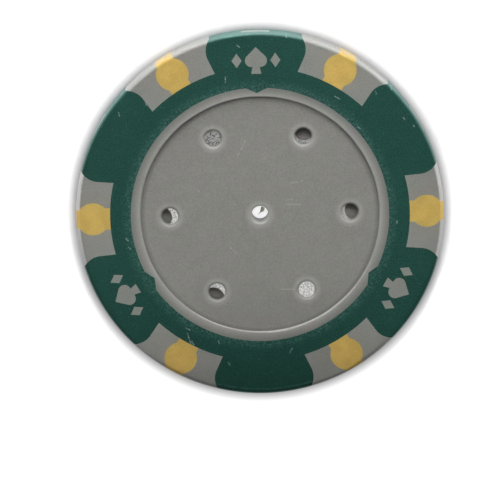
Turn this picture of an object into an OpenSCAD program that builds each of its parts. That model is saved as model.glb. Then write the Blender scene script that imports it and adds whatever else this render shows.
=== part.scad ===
// Poker chip: a steel slug inside four plastic shots, each moulded round the one before it.
// The chip lies flat with its axis on Z and the origin at the middle of its lower face.
// Both faces are alike, and a panel with pips points to +Y.

/* [Chip] */
// Outside diameter of the chip
chip_d = 40; // [38:0.5:46]
// Thickness of the chip over its rim
chip_t = 3.3; // [3:0.1:4.5]
// Rounding of the rim's two corners
rim_round = 0.45; // [0.2:0.05:0.8]

/* [Rings of each face] */
// Width of the outer ring, where the lobes and the edge spots take turns
spot_ring_w = 3.7; // [3:0.1:4.5]
// Width of the green band inside that ring
band_w = 2.25; // [1.5:0.05:3]
// Width of the grey land between the band and the label recess
land_w = 1.05; // [0.8:0.05:2]

/* [Label recess] */
// Depth of the recess that takes a printed label, on each face
recess_depth = 0.25; // [0.1:0.05:0.4]
// Rounding of the recess's lip
lip_round = 0.15; // [0.05:0.05:0.25]

/* [Steel slug] */
// Plastic left between the stamped slug's edge and the tips of the band's nubs
slug_margin = 0.3; // [0.2:0.05:2]
// Thickness of the slug
slug_t = 2; // [1.6:0.1:2.2]
// Rounding that tumbling leaves on the slug's edges
slug_round = 0.2; // [0.05:0.05:0.4]
// How far the slug lies off the chip's axis towards -X, from its play in the mould
slug_shift = 0.17; // [0:0.01:0.2]
// Angle by which the slug has turned in the mould
slug_turn = 0.9; // [-2:0.1:2]
// Diameter of the slug's lock holes, where the core's plastic joins through the slug
lock_d = 2.45; // [1.5:0.05:3.2]
// Distance of the lock holes' circle outside the pin holes' circle
lock_outset = 0.8; // [0:0.1:1.2]
// How far the plastic in the lock holes has sunk below the slug's face, under the pins
lock_sink = 0.6; // [0:0.05:0.7]

/* [Pin holes] */
// Diameter of the holes left by the mould's pins, with the middle one right through the chip
pin_d = 1.8; // [1.2:0.1:2.6]
// Distance of the outer pin holes' axes from the recess's wall
pin_inset = 3.2; // [2:0.1:6]
// Number of pin holes on that circle
pin_count = 6; // [3:1:8]
// Rounding of each pin hole's mouth
pin_mouth = 0.3; // [0.05:0.05:0.35]

/* [Core flange] */
// Depth of the band and of the edge spots below each face
shot_depth = 0.7; // [0.5:0.05:0.85]
// Thickness of the shots' walls round the flange at the rim
wall = 1; // [0.7:0.05:1.6]

/* [Green lobes] */
// Number of lobes, with pips on every second one
lobe_count = 6; // [4:2:6]
// Width of the edge spot at its waist, between two lobes
spot_w = 8.2; // [7:0.1:9.5]
// How far a lobe's round ends run past the ring on both sides
lobe_overrun = 0.35; // [0.1:0.05:0.6]
// Angle between a lobe's straight flanks and its middle line
flank_tilt = 25; // [10:1:35]
// Width of the pointed nub under each pip panel
nub_w = 2.6; // [1.5:0.1:4]
// Reach of the nub inside the band
nub_reach = 0.6; // [0.2:0.05:0.8]

/* [Tabs] */
// Width of the core's tab in the middle of each lobe's edge
lobe_tab_w = 3.1; // [2:0.1:4.5]
// Height of the lobe's tab
lobe_tab_h = 1.04; // [0.6:0.02:1.4]
// Width of the core's two tabs in each edge spot
spot_tab_w = 2.8; // [1.5:0.1:3.2]
// Height of the edge spot's tabs
spot_tab_h = 1.7; // [0.8:0.05:1.8]
// Distance from the yellow stripe to the tabs beside it
spot_tab_gap = 0.5; // [0.3:0.05:0.8]
// Rounding of every tab's corners
tab_round = 0.2; // [0.05:0.05:0.35]

/* [Yellow spots] */
// Diameter of the round spot
spot_d = 3.55; // [2.6:0.05:3.7]
// Width of the neck between the spot and the band
neck_w = 2.35; // [1.5:0.05:2.6]
// Width of the stripe that runs over the rim
stripe_w = 2.05; // [1.5:0.05:2.6]
// Depth of the spot below each face
spot_depth = 0.45; // [0.25:0.05:0.5]
// Depth of the stripe in the rim
stripe_depth = 0.5; // [0.3:0.05:0.7]

/* [Pips] */
// Side of the square that the spade's leaf is drawn on
leaf = 1.4; // [1:0.05:1.6]
// Length of the spade's stem below its leaf
stem_l = 0.75; // [0.4:0.05:1]
// Width of the stem at its top
stem_top_w = 0.3; // [0.2:0.05:0.5]
// Width of the stem at its foot
stem_foot_w = 1.1; // [0.6:0.05:1.4]
// Width of each small diamond
diamond_w = 1.1; // [0.6:0.05:1.3]
// Height of each small diamond
diamond_h = 1.6; // [1:0.05:2]
// Space between the spade and a diamond
pip_gap = 0.35; // [0.2:0.05:0.5]

/* [Hidden] */
$fn = 96;
chip_r = chip_d / 2;
band_outer_r = chip_r - spot_ring_w;
band_inner_r = band_outer_r - band_w;
recess_r = band_inner_r - land_w;
slug_r = band_inner_r - nub_reach - slug_margin;
pin_r = pin_d / 2;
pin_circle_r = recess_r - pin_inset;
mid_z = chip_t / 2;
slug_top = mid_z + slug_t / 2;
floor_z = chip_t - recess_depth;
web_t = chip_t - 2 * shot_depth;
web_r = chip_r - wall;
// Middle of the outer ring, where the lobes' ends and the round spots are centred
ring_mid_r = chip_r - spot_ring_w / 2;
lobe_pitch = 360 / lobe_count;
lobe_end_r = spot_ring_w / 2 + lobe_overrun;
// Sideways place of a lobe's round ends, which leave the edge spot its waist
lobe_end = (ring_mid_r * sin(lobe_pitch / 2) - spot_w / 2 - lobe_end_r) / cos(lobe_pitch / 2);
// The flanks start this far inside the round ends, so that they cross them cleanly
flank_bite = 0.005;
// The pips stand in the middle of their panel
panel_mid_r = (band_inner_r + chip_r) / 2;
// The spade's leaf is a square on its corner with a round ear on each of its two lower sides
leaf_tip = leaf * sqrt(2) / 2;
leaf_ear = leaf_tip / 2;
leaf_half_w = leaf_ear + leaf / 2;
stem_foot = -leaf_half_w - stem_l;
spade_mid = (leaf_tip + stem_foot) / 2;
// Cutting shapes run past the faces by this much
over = 1;

SPOTS = [for (i = [1:lobe_count]) str("edge_spot_", i)];
STRIPES = [for (i = [1:lobe_count]) str("yellow_spot_", i)];

// Edge spot 1 points to +X, and the lobes stand half a pitch away from the spots.
function spot_angle(i) = (i - 1) * lobe_pitch;
function lobe_angle(i) = spot_angle(i) + lobe_pitch / 2;

// Half section of a disc with rounded corners
module disc_section(r, t, round) {
    square([r - round, t]);
    translate([0, round]) square([r, t - 2 * round]);
    for (z = [round, t - round])
        translate([r - round, z]) circle(round);
}

// Half section of a round mouth that flares from radius r to the surface at height z, and of the room above
module mouth_section(r, z, round) {
    difference() {
        translate([0, z - round]) square([r + round, round + over]);
        translate([r + round, z - round]) circle(round);
    }
}

// The whole chip's outside, with the two label recesses
module blank() {
    difference() {
        rotate_extrude() disc_section(chip_r, chip_t, rim_round);
        both_faces() recess_cut();
    }
}

module recess_cut() {
    rotate_extrude() {
        translate([0, floor_z]) square([recess_r, recess_depth]);
        mouth_section(recess_r, chip_t, lip_round);
    }
}

// A pin hole that opens on the upper face, down to the height bottom
module pin_hole_cut(bottom) {
    rotate_extrude() {
        translate([0, bottom]) square([pin_r, floor_z - bottom]);
        mouth_section(pin_r, floor_z, pin_mouth);
    }
}

// Sets what is drawn on the chip's axis at each pin hole of the circle
module on_pin_circle(numbers) {
    for (i = numbers)
        rotate(i * 360 / pin_count) translate([pin_circle_r, 0, 0]) children();
}

// Repeats what is drawn on the upper face on the lower one
module both_faces() {
    children();
    translate([0, 0, chip_t]) mirror([0, 0, 1]) children();
}

// A flat outline taken through the whole chip
module through() {
    translate([0, 0, -over]) linear_extrude(chip_t + 2 * over) children();
}

// Flat outlines, each drawn on the +X side of the chip

// Two round ends, with flanks that leave them nearly at a tangent and draw together towards the middle
module lobe_outline() {
    flank_r = lobe_end_r - flank_bite;
    flank_x = -flank_r * sin(flank_tilt);
    flank_y = lobe_end + flank_r * cos(flank_tilt);
    translate([ring_mid_r, 0]) {
        square([2 * lobe_end_r, 2 * lobe_end], center = true);
        for (y = [-lobe_end, lobe_end])
            translate([0, y]) circle(lobe_end_r);
        polygon([[flank_x, -flank_y], [flank_x, flank_y], [flank_x - flank_y / tan(flank_tilt), 0]]);
    }
}

module nub_outline() {
    polygon([
        [band_inner_r - nub_reach, 0],
        [band_inner_r + nub_reach, -nub_w],
        [band_inner_r + nub_reach, nub_w]
    ]);
}

module spot_outline() {
    translate([ring_mid_r, 0]) circle(d = spot_d);
    translate([band_inner_r, -neck_w / 2]) square([ring_mid_r - band_inner_r, neck_w]);
    translate([ring_mid_r, -stripe_w / 2]) square([chip_r, stripe_w]);
}

// A spade between two diamonds, with the spade's tip pointing outwards
module pips_outline() {
    translate([panel_mid_r - spade_mid, 0]) {
        rotate(45) square(leaf, center = true);
        for (y = [-1, 1])
            translate([-leaf_ear, y * leaf_ear]) circle(leaf / 2);
        polygon([
            [0, -stem_top_w / 2],
            [0, stem_top_w / 2],
            [stem_foot, stem_foot_w / 2],
            [stem_foot, -stem_foot_w / 2]
        ]);
    }
    for (y = [-1, 1])
        translate([panel_mid_r, y * (leaf_half_w + pip_gap + diamond_w / 2)])
            polygon([[-diamond_h / 2, 0], [0, diamond_w / 2], [diamond_h / 2, 0], [0, -diamond_w / 2]]);
}

// A round-cornered bar that runs outwards at half height, from inside the flange to past the rim
module tab_bar(w, h) {
    translate([web_r - wall, 0, mid_z])
        rotate([90, 0, 90])
            linear_extrude(2 * wall + over) {
                square([w - 2 * tab_round, h], center = true);
                square([w, h - 2 * tab_round], center = true);
                for (x = [-1, 1], y = [-1, 1])
                    translate([x * (w / 2 - tab_round), y * (h / 2 - tab_round)]) circle(tab_round);
            }
}

// Room that the slug and each shot take in the chip

// The slug with its lock holes: every third pin stands on bare steel, and the others at a lock hole
module slug_room() {
    translate([-slug_shift, 0, 0]) rotate(slug_turn) difference() {
        translate([0, 0, slug_top - slug_t])
            rotate_extrude() disc_section(slug_r, slug_t, slug_round);
        on_pin_circle([for (i = [1:pin_count]) if (i % 3 != 2) i])
            translate([lock_outset, 0, 0]) cylinder(d = lock_d, h = chip_t);
    }
}

module flange_room() {
    translate([0, 0, shot_depth]) cylinder(r = web_r, h = web_t);
}

module tabs_room() {
    for (i = [1:lobe_count]) {
        rotate(lobe_angle(i)) tab_bar(lobe_tab_w, lobe_tab_h);
        for (side = [-1, 1])
            rotate(spot_angle(i))
                translate([0, side * (stripe_w / 2 + spot_tab_gap + spot_tab_w / 2), 0])
                    tab_bar(spot_tab_w, spot_tab_h);
    }
}

module pips_room() {
    for (i = [2:2:lobe_count])
        rotate(lobe_angle(i)) through() pips_outline();
}

module core_room() {
    through() difference() {
        circle(band_inner_r);
        for (i = [2:2:lobe_count])
            rotate(lobe_angle(i)) nub_outline();
    }
    flange_room();
    tabs_room();
    pips_room();
}

module band_room() {
    through() {
        circle(band_outer_r);
        for (i = [1:lobe_count])
            rotate(lobe_angle(i)) lobe_outline();
    }
}

module yellow_room(i) {
    rotate(spot_angle(i)) difference() {
        through() spot_outline();
        translate([0, 0, spot_depth]) cylinder(r = chip_r - stripe_depth, h = chip_t - 2 * spot_depth);
    }
}

module sector_room(i) {
    far = chip_d;
    rotate(spot_angle(i)) through()
        polygon([
            [0, 0],
            [far * cos(lobe_pitch / 2), -far * sin(lobe_pitch / 2)],
            [far * cos(lobe_pitch / 2), far * sin(lobe_pitch / 2)]
        ]);
}

// The pieces

module steel_slug() {
    color("silver") difference() {
        slug_room();
        cylinder(r = pin_r, h = chip_t);
    }
}

module grey_core() {
    color([0.53, 0.52, 0.5]) difference() {
        intersection() {
            blank();
            core_room();
        }
        slug_room();
        both_faces() {
            pin_hole_cut(0);
            on_pin_circle([1:pin_count]) pin_hole_cut(slug_top - lock_sink);
        }
    }
}

module green_band() {
    color([0.15, 0.29, 0.26]) difference() {
        intersection() {
            blank();
            band_room();
        }
        core_room();
    }
}

module edge_spot(i) {
    color([0.53, 0.53, 0.51]) difference() {
        intersection() {
            blank();
            sector_room(i);
        }
        core_room();
        band_room();
        yellow_room(i);
    }
}

module yellow_spot(i) {
    color([0.76, 0.64, 0.35]) difference() {
        intersection() {
            blank();
            yellow_room(i);
        }
        band_room();
    }
}

steel_slug();
grey_core();
green_band();
for (i = [1:lobe_count]) {
    edge_spot(i);
    yellow_spot(i);
}
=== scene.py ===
import math
import bpy
from mathutils import Matrix, Vector


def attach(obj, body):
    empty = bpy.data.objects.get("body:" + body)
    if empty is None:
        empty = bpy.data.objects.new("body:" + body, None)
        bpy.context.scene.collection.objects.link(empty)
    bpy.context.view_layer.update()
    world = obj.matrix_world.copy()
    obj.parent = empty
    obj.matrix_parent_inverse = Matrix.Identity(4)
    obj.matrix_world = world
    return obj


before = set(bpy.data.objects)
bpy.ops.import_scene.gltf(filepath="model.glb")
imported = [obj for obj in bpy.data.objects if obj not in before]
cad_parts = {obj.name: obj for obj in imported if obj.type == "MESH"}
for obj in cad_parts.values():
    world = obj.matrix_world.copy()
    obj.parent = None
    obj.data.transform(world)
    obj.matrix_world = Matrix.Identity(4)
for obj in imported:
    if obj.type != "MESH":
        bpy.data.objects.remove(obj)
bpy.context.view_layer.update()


# Steel slug: a stamped steel disc that gives the chip its weight, with the core moulded round it.
# It shows at the bottom of the pin holes, as a full disc at two of them, bright or pitted, and as a
# crescent beside a lock hole at the other four. Its middle hole is part of the hole through the chip.
class Tone:
    """A value or a colour that changes over a surface. Maths on it adds nodes to its material."""

    def __init__(self, socket):
        self.socket = socket

    def node(self, kind, settings, sockets, out=0):
        tree = self.socket.id_data
        made = tree.nodes.new("ShaderNode" + kind)
        for name, setting in settings.items():
            setattr(made, name, setting)
        for name, fed in sockets.items():
            if isinstance(fed, Tone):
                tree.links.new(fed.socket, made.inputs[name])
            else:
                made.inputs[name].default_value = fed
        return Tone(made.outputs[out])

    def maths(self, operation, a, b=0.0, c=0.0):
        return self.node("Math", {"operation": operation}, {0: a, 1: b, 2: c})

    def __add__(self, other):
        return self.maths("ADD", self, other)

    def __sub__(self, other):
        return self.maths("SUBTRACT", self, other)

    def __rsub__(self, other):
        return self.maths("SUBTRACT", other, self)

    def __mul__(self, other):
        return self.maths("MULTIPLY", self, other)

    def __truediv__(self, other):
        return self.maths("DIVIDE", self, other)

    def __pow__(self, other):
        return self.maths("POWER", self, other)

    def __abs__(self):
        return self.maths("ABSOLUTE", self)

    __radd__ = __add__
    __rmul__ = __mul__

    def most(self, other):
        return self.maths("MAXIMUM", self, other)

    def least(self, other):
        return self.maths("MINIMUM", self, other)

    def rise(self, low, high):
        """0 below low and 1 above high, or the other way round where low is the larger."""
        return self.node("MapRange", {"interpolation_type": "SMOOTHSTEP"},
                         {"Value": self, "From Min": low, "From Max": high})

    def part(self, name):
        """Another output of the node that this one comes from."""
        return Tone(self.socket.node.outputs[name])

    def noise(self, scale, detail=2.0, roughness=0.5):
        """Cloudy values about 0.5, with scale patches to the millimetre."""
        return self.node("TexNoise", {}, {
            "Vector": self, "Scale": scale, "Detail": detail, "Roughness": roughness})

    def mix(self, low, high):
        """The colour low where this value is 0, and high where it is 1."""
        return self.node("Mix", {"data_type": "RGBA"}, {0: self, 6: low, 7: high}, 2)

    def shade(self, value):
        """This colour made lighter or darker by value."""
        return self.node("Mix", {"data_type": "RGBA", "blend_type": "MULTIPLY"},
                         {0: 1.0, 6: self, 7: value}, 2)


mm = 0.001


def new_finish(name, roughness, specular):
    """A material, its shader, and the place on the chip in millimetres as a vector and as x, y, z."""
    finish = bpy.data.materials.new(name)
    finish.use_nodes = True
    shader = finish.node_tree.nodes["Principled BSDF"]
    shader.inputs["Roughness"].default_value = roughness
    shader.inputs["Specular IOR Level"].default_value = specular
    metres = Tone(finish.node_tree.nodes.new("ShaderNodeTexCoord").outputs["Object"])
    place = metres.node("VectorMath", {"operation": "SCALE"}, {0: metres, "Scale": 1 / mm})
    x = place.node("SeparateXYZ", {}, {0: place})
    return finish, shader, place, x, x.part("Y"), x.part("Z")


def feed(shader, socket, tone):
    tone.socket.id_data.links.new(tone.socket, shader.inputs[socket])


def wear_finish(node_name, finish):
    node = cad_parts[node_name]
    node.data.materials.clear()
    node.data.materials.append(finish)


def hole_bottom(x, y, hole):
    """1 on the slug's face at the bottom of the pin hole at this place."""
    return ((x - hole[0]) ** 2 + (y - hole[1]) ** 2).rise(3.0, 1.6)


PITTED_HOLE = (-4.95, 8.57)
SHADED_HOLE = (4.9, 8.5)
RIGHT_HOLE = (9.8, 0.0)
BRIGHT_STEEL = (0.26, 0.26, 0.25, 1), (0.62, 0.625, 0.6, 1)
SHADED_STEEL = (0.08, 0.08, 0.077, 1), (0.24, 0.24, 0.23, 1)
PITTED_STEEL = (0.085, 0.087, 0.083, 1), (0.31, 0.312, 0.3, 1)
steel, shader, place, x, y, z = new_finish("stamped_steel", 0.4, 0.5)
shader.inputs["Metallic"].default_value = 1.0
pits = place.noise(7.0, 3.0, 0.6)
grit = place.noise(16.0, 2.0)
pitted = hole_bottom(x, y, PITTED_HOLE)
# Painted shade: the steel is made darker on the middle hole's wall, at the bottom of the shaded hole
# and, half as much, at the bottom of the right-hand hole.
middle_wall = (x * x + y * y).rise(1.2, 1.0) * z.rise(2.9, 1.4)
steel_shade = hole_bottom(x, y, SHADED_HOLE).most(middle_wall).most(hole_bottom(x, y, RIGHT_HOLE) * 0.5)
tone = pits.rise(0.35, 0.62).mix(*BRIGHT_STEEL)
tone = (steel_shade * 0.85).mix(tone, pits.rise(0.38, 0.6).mix(*SHADED_STEEL))
tone = pitted.mix(tone, pits.rise(0.35, 0.6).mix(*PITTED_STEEL))
feed(shader, "Base Color", tone)
feed(shader, "Roughness", 0.36 + 0.25 * grit + pitted * 0.15)
bump = pits.node("Bump", {}, {
    "Height": pits + grit * 0.5, "Strength": 0.45, "Distance": 0.04 * mm})
feed(shader, "Normal", bump)
wear_finish("steel_slug", steel)


# Grey core: the first plastic shot, closed round the slug. It carries the label recess and the pin
# holes on each face, the tabs that come through to the rim, and the pips. It is matte grained
# plastic, a little mottled, with short scratches and rubbed lips. Light and shade are also painted
# on it: paler lips and pin-hole mouths as painted highlights, a paler upper wall in the middle hole,
# and painted shade in the pockets beside the slug and on the lower part of the recess floor. It is
# darker at the foot of the recess wall and towards the green band.
MID_Z = 1.65
SLUG_HALF = 1.0
RIM_R = 20.0
BAND_R = 14.05
RECESS_R = 13.0
HOLE_CIRCLE_R = 9.8


def scratch(flat, ends):
    """1 along a straight scratch seen from above, between two places in millimetres."""
    width = 0.09
    (x0, y0), (x1, y1) = ends
    along = Vector((x1 - x0, y1 - y0, 0.0))
    reach = along / along.length_squared
    start = flat.node("VectorMath", {"operation": "SUBTRACT"}, {0: flat, 1: (x0, y0, 0.0)})
    share = start.node("VectorMath", {"operation": "DOT_PRODUCT"}, {0: start, 1: reach}, 1)
    share = share.node("Math", {"operation": "ADD", "use_clamp": True}, {0: share, 1: 0.0})
    off = start.node("VectorMath", {"operation": "MULTIPLY_ADD"}, {0: share, 1: -along, 2: start})
    return off.node("VectorMath", {"operation": "LENGTH"}, {0: off}, 1).rise(width, width * 0.3)


def scratches(place, x, y, z, all_ends):
    """All of these scratches on the upper face, broken up as a light scrape is."""
    flat = x.node("CombineXYZ", {}, {0: x, 1: y})
    found = scratch(flat, all_ends[0])
    for ends in all_ends[1:]:
        found = found.most(scratch(flat, ends))
    return found * z.rise(2.0, 2.5) * (0.3 + 0.7 * place.noise(6.0, 1.0).rise(0.4, 0.6))


def specks(place, scale, size, share):
    """1 in small round specks, in a share of the cells of a random pattern."""
    cell = place.node("TexVoronoi", {}, {"Vector": place, "Scale": scale})
    chance = cell.node("SeparateColor", {}, {0: cell.part("Color")})
    speck = cell.rise(size * scale, size * scale * 0.4)
    return speck * chance.rise(1 - share, 1 - share + 0.02)


def plastic_grain(place, shader, strength, contrast):
    """Fine moulding grain as a bump, and the shade of the grain and of the wider mottle."""
    fine = place.noise(7.0, 2.0)
    wide = place.noise(0.7, 3.0)
    bump = fine.node("Bump", {}, {"Height": fine, "Strength": strength, "Distance": 0.02 * mm})
    feed(shader, "Normal", bump)
    return 1 + (fine - 0.5) * contrast + (wide - 0.5) * 0.14


def grey_mottle(place):
    """0 and 1 in patches of a millimetre, between which a grey shot changes its hue."""
    return place.noise(1.1, 2.0).rise(0.35, 0.65)


def polish_rim(shader, r, shine):
    """A slight polish on the rim, where fingers and other chips rub."""
    shader.inputs["Coat Roughness"].default_value = 0.35
    feed(shader, "Coat Weight", r.rise(RIM_R - 0.26, RIM_R - 0.04) * shine)


def from_sixth(x, y):
    """The angle from the nearest of the chip's six spots, in radians."""
    return x.maths("WRAP", x.maths("ARCTAN2", y, x), math.pi / 6, -math.pi / 6)


def tab_seam(x, y, z, r):
    """1 on the outline of the core's tabs at the rim, fainter on the side away from the stripe."""
    near, far, half_height, corner = 1.525, 4.325, 0.85, 0.2
    sideways = abs(from_sixth(x, y)) * RIM_R
    past_side = abs(sideways - (near + far) / 2) - ((far - near) / 2 - corner)
    past_end = abs(z - MID_Z) - (half_height - corner)
    round_corner = (past_side.most(0.0) ** 2 + past_end.most(0.0) ** 2) ** 0.5
    off = abs(round_corner + past_side.most(past_end).least(0.0) - corner)
    return off.rise(0.07, 0.02) * r.rise(RIM_R - 0.3, RIM_R - 0.1) * sideways.rise(4.2, 1.6)


def hole_mouths(x, y, r):
    """1 on the rounded mouths of the seven pin holes, and less round them."""
    angle = from_sixth(x, y)
    ahead = r * x.maths("COSINE", angle) - HOLE_CIRCLE_R
    aside = r * x.maths("SINE", angle)
    off = (ahead * ahead + aside * aside).least(r * r) ** 0.5
    return off.rise(0.92, 1.0) * off.rise(1.8, 1.0)


SCRATCH_AND_HIGHLIGHT_GREY = (0.5, 0.49, 0.46, 1)
RUBBED_AND_LIT_GREY = (0.5, 0.5, 0.46, 1)
RECESS_DARK_AND_SHADE = (0.06, 0.057, 0.052, 1)
POCKET_SHADE = (0.06, 0.055, 0.05, 1)
DUST = (0.1, 0.1, 0.095, 1)
SEAM_GREY = (0.07, 0.07, 0.066, 1)
core_grey, shader, place, x, y, z = new_finish("core_grey_plastic", 0.6, 0.1)
grain = plastic_grain(place, shader, 0.35, 0.5)
r = (x * x + y * y) ** 0.5
polish_rim(shader, r, 1.0)
floor_scratches = scratches(place, x, y, z, [
    ((-2.19, 6.63), (-2.05, 6.9)), ((-1.88, 7.25), (-1.65, 7.7)), ((-1.5, 8.0), (-1.35, 8.29)),
    ((-3.32, -3.56), (-3.2, -3.68)), ((-3.0, -3.87), (-2.9, -3.97)),
    ((-2.75, -4.1), (-2.67, -4.19)), ((2.1, -8.36), (3.57, -8.39)),
    ((2.82, 1.02), (3.02, 1.05)), ((3.15, 1.0), (3.4, 1.06)), ((3.55, 1.02), (3.75, 1.04)),
    ((3.9, 1.0), (4.15, 1.05)), ((4.3, 1.0), (4.42, 1.02)), ((2.85, 1.52), (2.97, 1.56)),
    ((3.12, 1.55), (3.24, 1.62)), ((3.45, 1.58), (3.56, 1.6)), ((3.45, 3.4), (3.62, 3.46)),
    ((3.8, 3.42), (3.92, 3.5)), ((4.1, 3.47), (4.24, 3.52)), ((4.55, 3.55), (4.75, 3.63)),
    ((-6.66, 2.87), (-6.49, 2.63)),
])
# Darker at the foot of the recess wall and towards the green band. Painted shade: the recess floor is
# darker towards the bottom of the face.
recess_foot_darkening = r.rise(RECESS_R - 0.65, RECESS_R - 0.05) * 0.42
floor_falloff_shade = y.rise(-6.0, -14.0) * 0.15
recess_dark_and_shade = recess_foot_darkening.most(floor_falloff_shade) * r.rise(RECESS_R + 0.02, RECESS_R - 0.04)
band_edge_darkening = r.rise(BAND_R - 0.55, BAND_R + 0.05) * r.rise(BAND_R + 0.35, BAND_R + 0.15)
# Painted light: the middle hole's plastic wall is paler towards its mouth.
pin_wall_painted_light = r.rise(1.1, 1.0) * z.rise(1.2, 2.7)
# Painted shade: the plastic in the pockets beside the slug is darker.
beside_slug = abs(z - MID_Z).rise(SLUG_HALF, SLUG_HALF - 0.2) * r.rise(BAND_R - 0.05, BAND_R - 0.55)
pocket_shade = beside_slug * (1 - pin_wall_painted_light)
# The recess's inner lip is rubbed pale and painted as a highlight.
lip_rub_and_highlight = r.rise(RECESS_R - 0.02, RECESS_R + 0.06) * r.rise(RECESS_R + 0.65, RECESS_R + 0.05)
tone = grey_mottle(place).mix((0.235, 0.23, 0.215, 1), (0.232, 0.233, 0.212, 1)).shade(grain)
tone = (floor_scratches * 0.45).mix(tone, SCRATCH_AND_HIGHLIGHT_GREY)
tone = (specks(place, 0.5, 0.06, 0.3) * 0.5).mix(tone, DUST)
# The pin-hole mouths are paler: rubbed, and painted light on their rounded edges.
tone = (hole_mouths(x, y, r) * 0.38).mix(tone, RUBBED_AND_LIT_GREY)
tone = (recess_dark_and_shade + band_edge_darkening * 0.3).mix(tone, RECESS_DARK_AND_SHADE)
tone = (pocket_shade * 0.4).mix(tone, POCKET_SHADE)
tone = (pin_wall_painted_light * 0.5).mix(tone, RUBBED_AND_LIT_GREY)
tone = (lip_rub_and_highlight * 0.3).mix(tone, SCRATCH_AND_HIGHLIGHT_GREY)
tone = (tab_seam(x, y, z, r) * 0.7).mix(tone, SEAM_GREY)
feed(shader, "Base Color", tone)
wear_finish("grey_core", core_grey)


# Flash in the middle hole: a thin tongue of the core's plastic that crept past the pin in the mould
# and hangs from the hole's wall. A strip is drawn out in steps from the wall and then thickened.
def in_metres(lengths):
    return [length * mm for length in lengths]


bpy.ops.object.select_all(action="DESELECT")
bpy.ops.mesh.primitive_plane_add(size=1.0 * mm, location=(0, 0, 0))
flash = bpy.context.object
flash.name = "hole_flash"
bpy.ops.object.mode_set(mode="EDIT")
bpy.ops.mesh.select_mode(type="VERT")
bpy.ops.mesh.select_all(action="SELECT")
bpy.ops.mesh.merge(type="CENTER")
root_start, root_along = (0.12, 0.88, 2.7), (0.43, -0.18, 0)
bpy.ops.transform.translate(value=in_metres(root_start))
bpy.ops.mesh.extrude_region_move(TRANSFORM_OT_translate={"value": in_metres(root_along)})
bpy.ops.mesh.select_all(action="SELECT")
for step, width in (
    ((-0.02, -0.14, -0.1), 1.07), ((-0.03, -0.21, -0.1), 1.0), ((-0.06, -0.17, -0.1), 0.85),
    ((-0.13, -0.1, -0.05), 0.36), ((-0.12, -0.12, -0.05), 0.7), ((-0.13, -0.14, 0), 0.6),
    ((-0.12, -0.14, 0), 0.5),
):
    bpy.ops.mesh.extrude_region_move(TRANSFORM_OT_translate={"value": in_metres(step)})
    bpy.ops.transform.resize(value=(width, width, width))
bpy.ops.object.mode_set(mode="OBJECT")
thick = flash.modifiers.new("thick", "SOLIDIFY")
thick.thickness = 0.07 * mm
thick.offset = 0.0
smooth = flash.modifiers.new("smooth", "SUBSURF")
smooth.levels = smooth.render_levels = 2
bpy.ops.object.modifier_apply(modifier="thick")
bpy.ops.object.modifier_apply(modifier="smooth")
bpy.ops.object.mode_set(mode="EDIT")
bpy.ops.mesh.select_all(action="SELECT")
bpy.ops.mesh.normals_make_consistent(inside=False)
bpy.ops.object.mode_set(mode="OBJECT")
bpy.ops.object.shade_smooth()
flash_lit_grey, shader, place, x, y, z = new_finish("flash_plastic_painted_light", 0.6, 0.1)
grain = plastic_grain(place, shader, 0.35, 0.5)
# Painted light: the tongue is paler than the core's plastic, standing in for light through the thin
# film.
tone = grey_mottle(place).mix((0.36, 0.355, 0.335, 1), (0.42, 0.415, 0.39, 1)).shade(grain)
feed(shader, "Base Color", tone)
flash.data.materials.append(flash_lit_grey)
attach(flash, "root")


# Green band: the second shot, a ring on each face joined by six lobes that wrap the core's flange
# at the rim. It is dark green matte plastic, rubbed pale and dusty round the rim and along the
# ring's inner edge, where stacked chips slide on each other, with small nicks and white scuffs.
# Painted light: the face is made paler towards the top, the rim's paleness also stands in for its
# sheen, and its corners and a line along the lower edge are paler as painted highlights.
def rub_marks(place):
    return place.noise(2.2, 4.0, 0.7)


def rim_corners(place, r, z, start):
    """1 where the two corners of the rim are worn and painted as highlights, from this radius
    outwards, in uneven strength.
    """
    corners = r.rise(start, start + 0.25) * abs(z - MID_Z).rise(1.0, 1.35)
    return corners * (0.4 + rub_marks(place) * 0.8)


PALE_GREEN = (0.115, 0.25, 0.225, 1)
TOP_LIGHT_GREEN = (0.075, 0.225, 0.185, 1)
SCUFF_GREEN = (0.2, 0.3, 0.27, 1)
NICK_GREEN = (0.3, 0.4, 0.37, 1)
green, shader, place, x, y, z = new_finish("green_plastic", 0.55, 0.1)
grain = plastic_grain(place, shader, 0.35, 1.65)
r = (x * x + y * y) ** 0.5
polish_rim(shader, r, 0.4)
rub = rub_marks(place)
rim = r.rise(RIM_R - 0.25, RIM_R - 0.03)
# The rim's paleness is dust and also a painted sheen.
rim_dust_and_sheen = 0.3 + place.noise(0.5, 4.0, 0.6).rise(0.35, 0.65) * 0.25
inner_rub = r.rise(BAND_R + 1.25, BAND_R + 0.05) * place.noise(5.0, 3.0, 0.7).rise(0.4, 0.75)
corner_line = r.rise(RIM_R - 0.72, RIM_R - 0.6) * r.rise(RIM_R - 0.42, RIM_R - 0.55)
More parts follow.
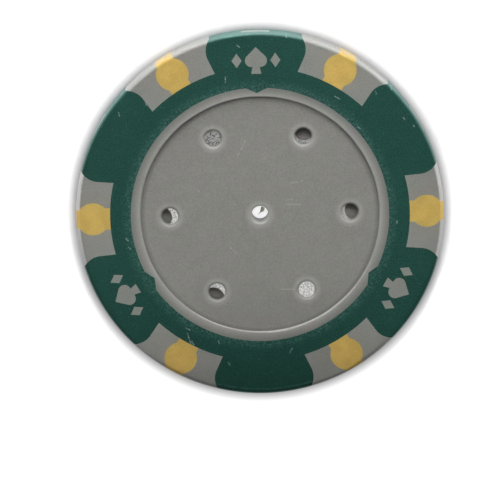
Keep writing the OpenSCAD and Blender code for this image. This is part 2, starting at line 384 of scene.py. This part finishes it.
# Painted highlight: a pale line along the rim's corner at the lower edge.
low_edge_highlight = corner_line * y.rise(-14.0, -17.0) * rub.rise(0.3, 0.65)
nicks = scratches(place, x, y, z, [
    ((-14.98, 11.7), (-14.92, 11.31)), ((-12.07, 12.68), (-11.95, 12.4)),
    ((-3.36, 15.3), (-3.35, 14.68)), ((14.49, 13.77), (14.57, 13.44)),
    ((12.82, 13.31), (12.92, 13.03)), ((-14.64, -2.24), (-14.38, -2.52)),
    ((-14.4, -3.19), (-14.13, -3.42)), ((-8.42, -12.37), (-7.99, -12.61)),
    ((-8.27, -12.99), (-7.82, -14.5)), ((-7.8, -13.89), (-7.32, -14.96)),
    ((2.86, -15.45), (3.15, -14.96)), ((14.84, -1.06), (14.9, -1.34)),
    ((3.3, 19.8), (3.34, 19.47)), ((8.44, 12.87), (8.93, 12.58)), ((10.86, 9.47), (11.07, 9.24)),
    ((-18.89, -6.14), (-18.81, -6.42)), ((15.79, 10.34), (15.95, 10.11)),
    ((16.86, 9.48), (16.97, 9.31)), ((-4.88, -13.91), (-4.82, -14.19)),
    ((-3.89, -16.33), (-3.74, -16.62)), ((-1.99, 18.72), (-1.77, 18.54)),
])
tone = place.noise(0.9, 3.0).mix((0.0074, 0.041, 0.0305, 1), (0.009, 0.0478, 0.0358, 1))
# Painted light: the green is made paler towards the top of the face, where more light falls.
tone = (y.rise(-20.0, 2.0) * 0.06).mix(tone, TOP_LIGHT_GREEN).shade(grain)
tone = (inner_rub * 0.42).mix(tone, PALE_GREEN)
tone = (rim * rim_dust_and_sheen * (0.6 + rub * 0.8)).mix(tone, PALE_GREEN)
# The rim's corners are rubbed pale and painted as highlights.
corners = rim_corners(place, r, z, RIM_R - 0.28)
tone = (corners * 0.6).most(low_edge_highlight * 0.17).mix(tone, PALE_GREEN)
scuffs = specks(place, 2.2, 0.07, 0.25) * (0.2 + inner_rub * 0.5 + rim * 0.7)
tone = scuffs.mix(tone, SCUFF_GREEN)
tone = (nicks * 0.6).mix(tone, NICK_GREEN)
feed(shader, "Base Color", tone)
wear_finish("green_band", green)


# Edge spots: the grey fillings between the lobes, moulded round the flange and round the core's
# tabs. The plastic is the core's own, so only a fine seam shows where a tab comes through. The
# corners of the rim are rubbed pale, and made paler still to the left and the right as a painted
# highlight.
spot_grey, shader, place, x, y, z = new_finish("edge_spot_plastic", 0.6, 0.1)
grain = plastic_grain(place, shader, 0.35, 0.5)
r = (x * x + y * y) ** 0.5
polish_rim(shader, r, 1.0)
corners = rim_corners(place, r, z, RIM_R - 0.5)
tone = grey_mottle(place).mix((0.245, 0.243, 0.227, 1), (0.24, 0.243, 0.224, 1)).shade(grain)
tone = (specks(place, 0.7, 0.06, 0.3) * 0.4).mix(tone, (0.4, 0.4, 0.37, 1))
# Painted highlight: the worn corners are made much paler to the left and the right.
tone = (corners * (0.16 + (x / RIM_R) ** 4 * 1.4)).mix(tone, (0.7, 0.7, 0.68, 1))
tone = (tab_seam(x, y, z, r) * 0.7).mix(tone, SEAM_GREY)
feed(shader, "Base Color", tone)
for number in range(1, 7):
    wear_finish(f"edge_spot_{number}", spot_grey)


# Yellow spots: the last shot, a round spot on each face joined by a stripe over the rim. The plastic
# is the same grained kind in ochre yellow, greyer on the rim, most at the top and the bottom, from
# dust and as a painted sheen, and rubbed pale on the rim's corners, paler still to the left and the
# right as a painted highlight.
yellow, shader, place, x, y, z = new_finish("yellow_plastic", 0.58, 0.1)
grain = plastic_grain(place, shader, 0.3, 0.38)
r = (x * x + y * y) ** 0.5
polish_rim(shader, r, 0.65)
corners = rim_corners(place, r, z, RIM_R - 0.5)
# Painted sheen: the rim is greyed most at the top and the bottom, besides its dust.
rim_dust_and_sheen = r.rise(RIM_R - 0.3, RIM_R - 0.05) * (0.5 - (x / RIM_R) ** 2 * 0.5)
tone = place.noise(0.8, 3.0).rise(0.3, 0.7)
tone = tone.mix((0.53, 0.362, 0.095, 1), (0.59, 0.41, 0.112, 1)).shade(grain)
tone = (specks(place, 1.0, 0.07, 0.3) * 0.35).mix(tone, (0.3, 0.2, 0.06, 1))
tone = rim_dust_and_sheen.mix(tone, (0.34, 0.3, 0.215, 1))
# Painted highlight: the worn corners are made much paler to the left and the right.
tone = (corners * (0.1 + (x / RIM_R) ** 4 * 1.3)).mix(tone, (0.84, 0.61, 0.19, 1))
feed(shader, "Base Color", tone)
for number in range(1, 7):
    wear_finish(f"yellow_spot_{number}", yellow)


# Studio: white paper under the chip with a soft shadow painted round it, a low strip light and two
# softboxes on the side that the camera leans to, and an even fill from all round. One softbox has a
# grid, which keeps its light off the near edge of the chip. The camera looks down on the face.
BLACK = (0, 0, 0, 1)
WHITE = (1, 1, 1, 1)


def seen_by_camera(tree):
    """1 where the camera looks, straight, in a reflection or through something clear."""
    seen = Tone(tree.nodes.new("ShaderNodeLightPath").outputs["Is Camera Ray"])
    return seen.most(seen.part("Is Glossy Ray")).most(seen.part("Is Transmission Ray"))


bpy.ops.object.select_all(action="DESELECT")
bpy.ops.mesh.primitive_plane_add(size=3.0, location=(0, 0, -0.02 * mm))
floor = bpy.context.object
floor.name = "studio_floor"
paper, shader, place, x, y, z = new_finish("white_paper", 0.9, 0.0)
shader.inputs["Base Color"].default_value = (0.3, 0.3, 0.3, 1)
shader.inputs["Emission Strength"].default_value = 1.0
# Painted shadow: the paper's glow is dimmed near the chip's outline.
painted_shadow_ramp = ((x * x + (y + 0.2) ** 2) ** 0.5 - (RIM_R - 0.1)) * 0.66 - 0.02
under_hole = (x * x + y * y).rise(300.0, 250.0) * 0.85
white = painted_shadow_ramp.most(under_hole).most(0.0).least(1.0)
feed(shader, "Emission Color", (seen_by_camera(paper.node_tree) * white).mix(BLACK, WHITE))
floor.data.materials.append(paper)


def soft_light(name, aim_y, elevation, distance, width, height, spread, watts):
    """A rectangular light over the chip's far side, facing a place on the chip's middle line."""
    lamp = bpy.data.lights.new(name, "AREA")
    lamp.shape = "RECTANGLE"
    lamp.size, lamp.size_y, lamp.energy = width, height, watts
    lamp.spread = math.radians(spread)
    held = bpy.data.objects.new(name, lamp)
    rise = math.radians(elevation)
    held.location = (0, aim_y + distance * math.cos(rise), distance * math.sin(rise))
    held.rotation_euler = (rise - math.pi / 2, 0, 0)
    bpy.context.scene.collection.objects.link(held)


soft_light("low_strip", aim_y=0, elevation=11, distance=0.14,
           width=0.14, height=0.03, spread=180, watts=0.23)
soft_light("softbox", aim_y=0, elevation=50, distance=0.25,
           width=0.16, height=0.12, spread=180, watts=0.23)
soft_light("grid_softbox", aim_y=0.008, elevation=50, distance=0.25,
           width=0.08, height=0.0406, spread=2.5, watts=0.0052)

world = bpy.data.worlds.new("studio_fill")
world.use_nodes = True
bpy.context.scene.world = world
sky = world.node_tree.nodes["Background"]
feed(sky, "Color", seen_by_camera(world.node_tree).mix((0.11, 0.11, 0.11, 1), WHITE))

tilt = math.radians(11.76)
turn = math.radians(1.5)
distance = 0.5
view_width = 54.35 * mm
face_z = 3.3 * mm
away = Vector((math.sin(turn) * math.sin(tilt), math.cos(turn) * math.sin(tilt), math.cos(tilt)))
right = Vector((math.cos(turn), -math.sin(turn), 0))
up = away.cross(right)
aim = Vector((0, 0, face_z)) - 1.085 * mm * right - 3.8 * mm * up
lens = bpy.data.cameras.new("camera")
lens.sensor_width = 36.0
lens.lens = lens.sensor_width * distance / view_width
camera = bpy.data.objects.new("camera", lens)
camera.matrix_world = Matrix((right, up, away)).transposed().to_4x4()
camera.location = aim + distance * away
bpy.context.scene.collection.objects.link(camera)
bpy.context.scene.camera = camera
bpy.context.scene.view_settings.view_transform = "Standard"
